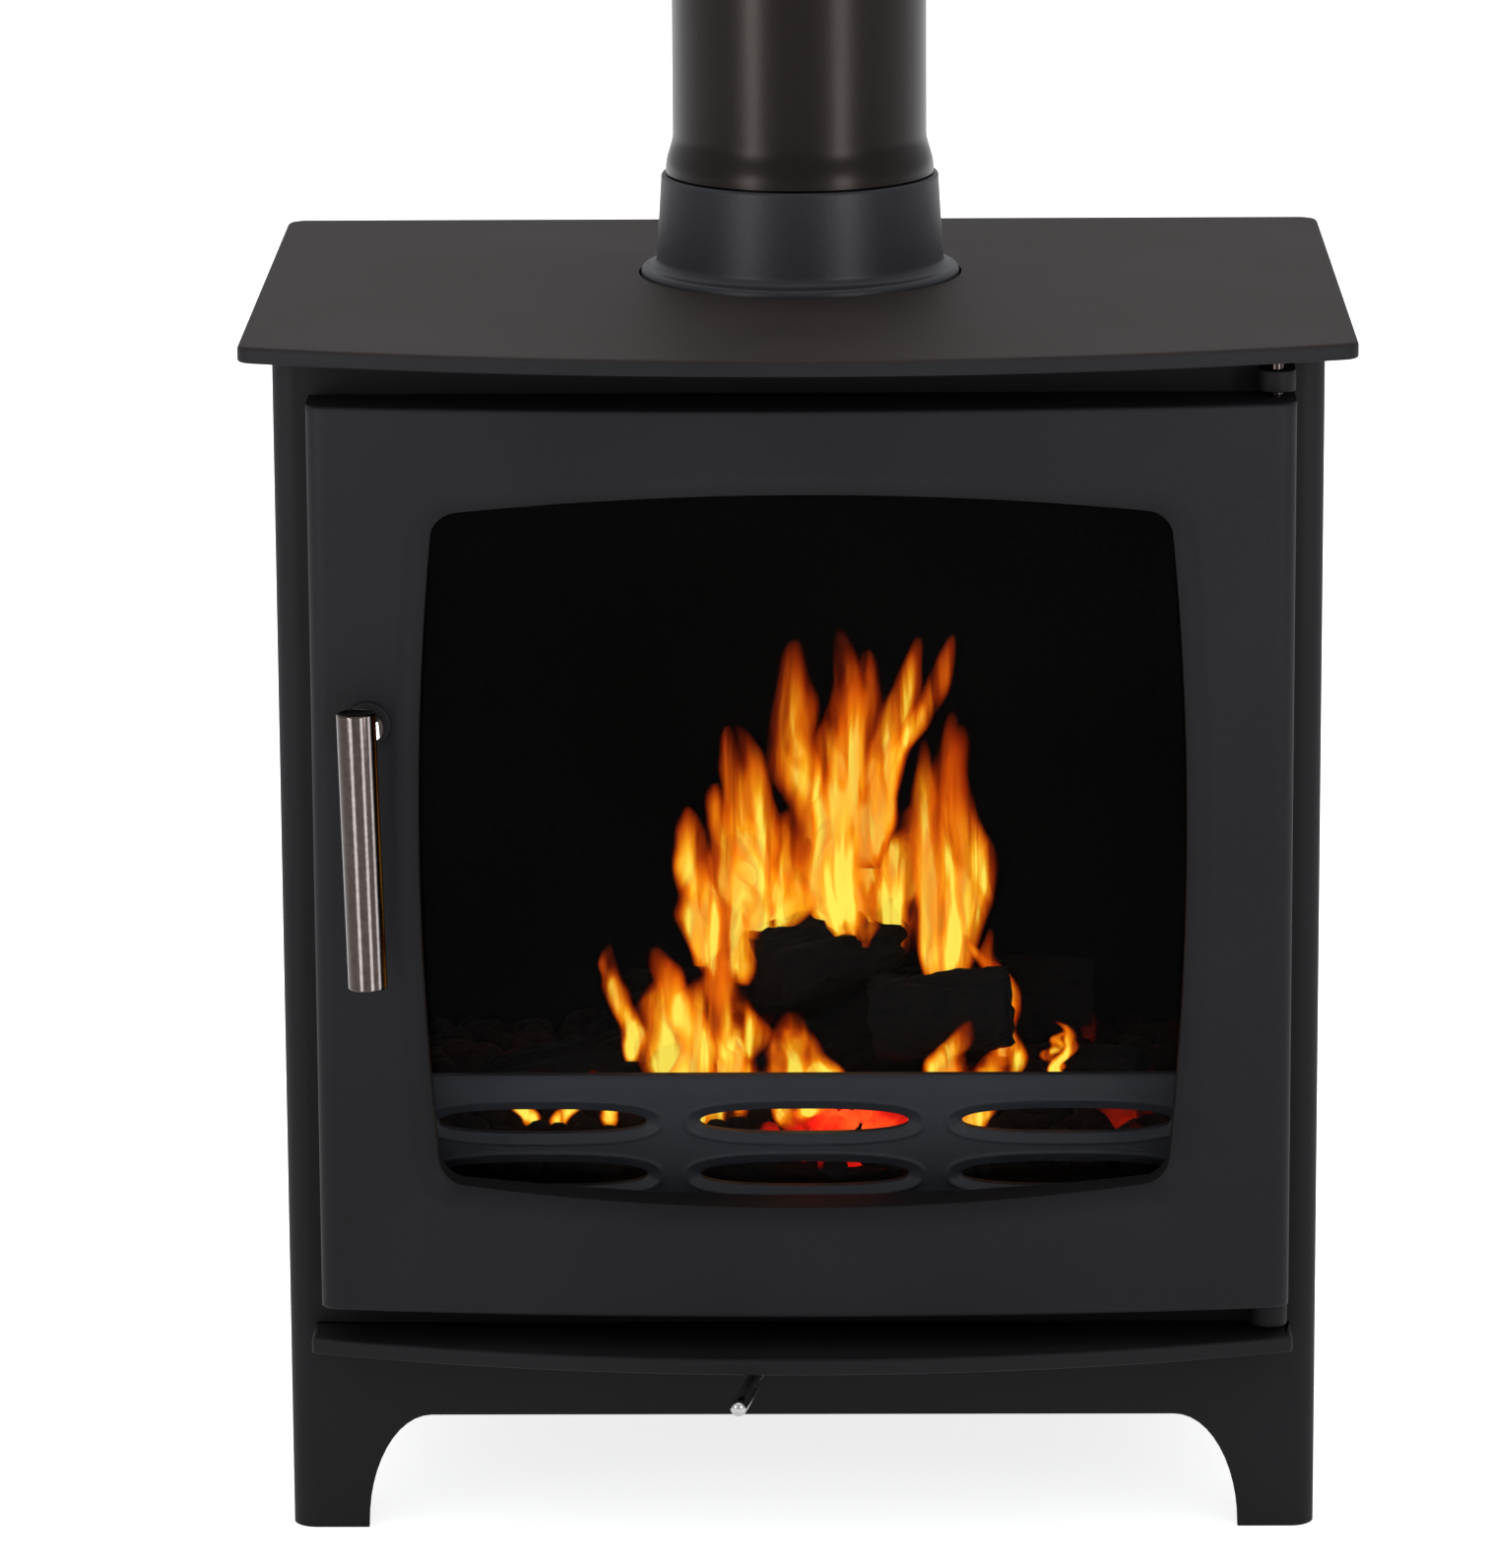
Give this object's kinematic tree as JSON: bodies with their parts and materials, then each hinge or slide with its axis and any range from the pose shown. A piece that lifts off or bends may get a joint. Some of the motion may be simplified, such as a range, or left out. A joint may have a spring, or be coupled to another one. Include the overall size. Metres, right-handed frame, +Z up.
{
  "type": "wood burning stove",
  "caption": "Freestanding steel wood stove on plate legs: bowed cast door with a large window, bowed top plate, flue collar with a first flue pipe, hanging bar handle and air lever.",
  "frame": {"origin": "middle of the footprint's bounding box, on the floor", "axes": "+Z up, -Y is the front with the door, +X to the right seen from the front"},
  "size_m": [0.536, 0.4406, 0.857],
  "materials": {
    "body_paint": "matt heat-resistant spray paint",
    "plate_paint": "matt heat-resistant spray paint, dusted by light",
    "cast_paint": "cast iron under matt charcoal paint",
    "pipe_enamel": "satin brown-black enamel",
    "stainless": "polished stainless bar",
    "zinc_steel": "plain zinc plated fasteners",
    "inner_steel": "sooty mild steel",
    "inner_iron": "sooty cast iron",
    "fire_brick": "pressed vermiculite board",
    "rope_seal": "knitted glass fibre rope",
    "door_glass": "clear ceramic glass"
  },
  "bodies": {
    "stove_body": {"side_panel_left": "body_paint", "side_panel_right": "body_paint", "front_panel": "body_paint", "back_panel": "body_paint", "body_top": "body_paint", "ash_lip": "body_paint", "rear_outlet_cover": "body_paint", "hinge_knuckle_top": "body_paint", "hinge_knuckle_bottom": "body_paint", "top_plate": "plate_paint", "flue_collar": "cast_paint", "log_guard": "cast_paint", "flue_pipe": "pipe_enamel", "hinge_pin_top": "stainless", "hinge_pin_bottom": "stainless", "top_plate_bolts": "zinc_steel", "collar_bolts": "zinc_steel", "rear_cover_bolts": "zinc_steel", "latch_keeper": "zinc_steel", "air_pivot_bolt": "zinc_steel", "air_pivot_nut": "zinc_steel", "base_plate": "inner_steel", "hearth_plate": "inner_steel", "baffle_rail_left": "inner_steel", "baffle_rail_right": "inner_steel", "grate_ledge_front": "inner_steel", "grate_ledge_rear": "inner_steel", "grate_ledge_left": "inner_steel", "grate_ledge_right": "inner_steel", "guard_support_left": "inner_steel", "guard_support_right": "inner_steel", "airwash_deflector": "inner_steel", "ash_pan": "inner_steel", "ash_pan_grip": "inner_steel", "grate": "inner_iron", "fire_brick_left": "fire_brick", "fire_brick_right": "fire_brick", "fire_brick_rear": "fire_brick", "baffle": "fire_brick", "collar_rope": "rope_seal"},
    "door": {"door_frame": "cast_paint", "door_glass": "door_glass", "glass_gasket": "rope_seal", "glass_clips": "zinc_steel", "glass_clip_screws": "zinc_steel", "door_rope": "rope_seal"},
    "handle": {"handle_bar": "stainless", "handle_spindle": "stainless", "handle_nut": "stainless", "handle_washer": "stainless", "latch_tongue": "zinc_steel", "latch_nut": "zinc_steel"},
    "air_control": {"air_lever": "stainless", "air_shutter": "inner_steel"}
  },
  "joints": [
    {"name": "door_hinge", "type": "hinge", "parent": "stove_body", "child": "door", "pos_m": [0.2297, -0.13573, 0.349], "axis": [0, 0, 1], "range_deg": [0, 100]},
    {"name": "handle_turn", "type": "hinge", "parent": "door", "child": "handle", "pos_m": [-0.2075, -0.18173, 0.4195], "axis": [0, -1, 0], "range_deg": [0, 60]},
    {"name": "air_lever_swing", "type": "hinge", "parent": "stove_body", "child": "air_control", "pos_m": [0, -0.03173, 0.092], "axis": [0, 0, 1], "range_deg": [0, 18.6]}
  ]
}
